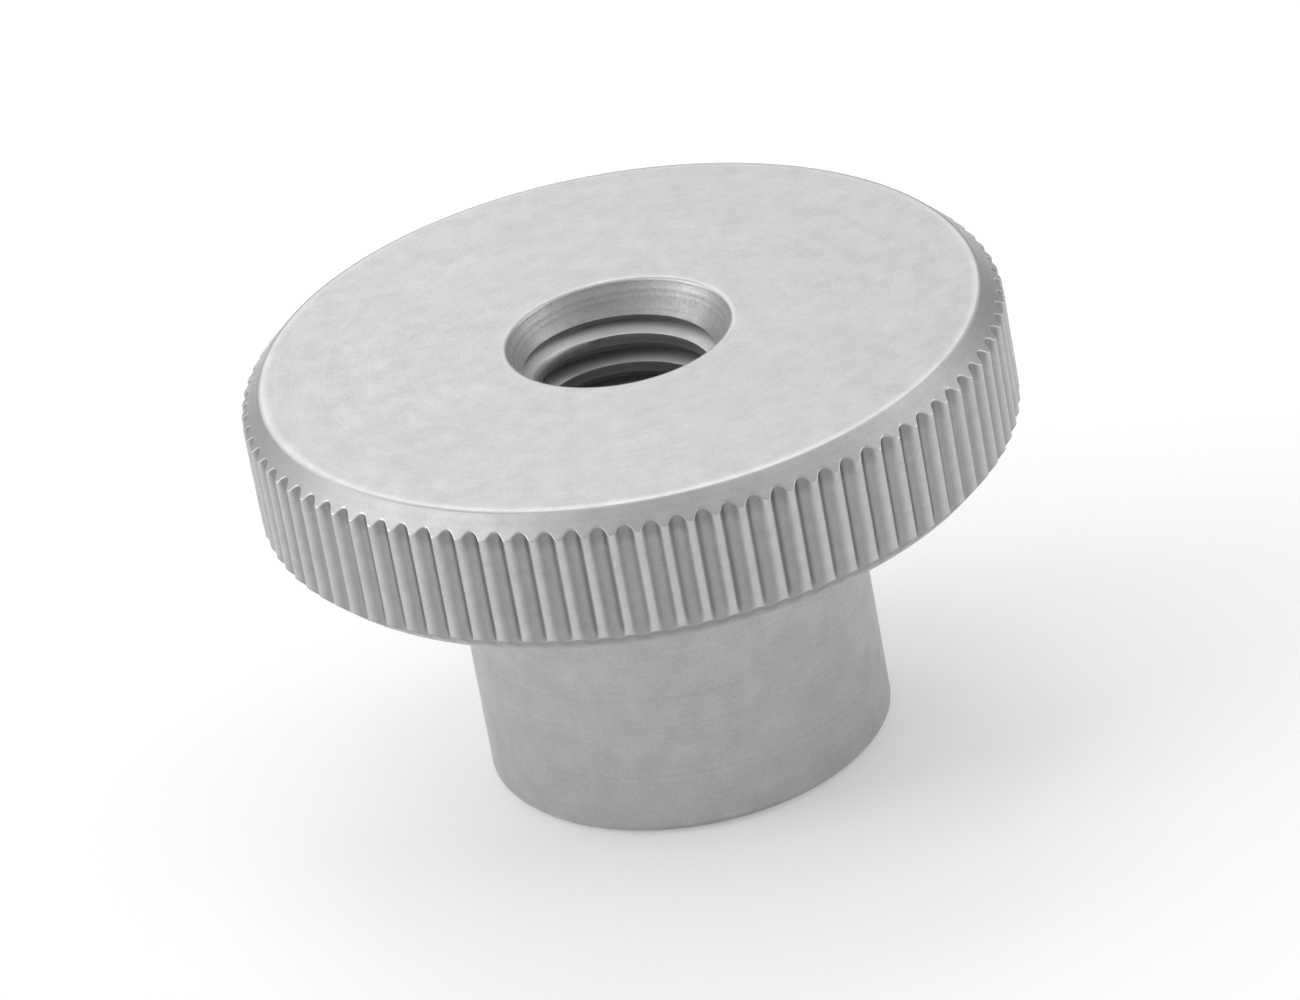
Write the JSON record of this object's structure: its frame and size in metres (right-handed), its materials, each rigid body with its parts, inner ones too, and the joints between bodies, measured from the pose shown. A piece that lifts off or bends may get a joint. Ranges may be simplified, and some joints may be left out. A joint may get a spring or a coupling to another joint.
{
  "type": "knurled thumb nut",
  "caption": "One-piece turned thumb nut: a straight-knurled disc head with bevelled rims on a plain round hub, with a countersunk threaded hole right through.",
  "frame": {"origin": "centre of the hub's flat foot, on the thread's axis", "axes": "+Z along the thread's axis, from the foot to the knurled head; X and Y are free, since the nut is round"},
  "size_m": [0.03, 0.03, 0.018],
  "materials": {
    "stainless_steel": "fine satin, turned and tumbled stainless steel"
  },
  "bodies": {
    "root": {"knurled_nut": "stainless_steel"}
  },
  "joints": []
}
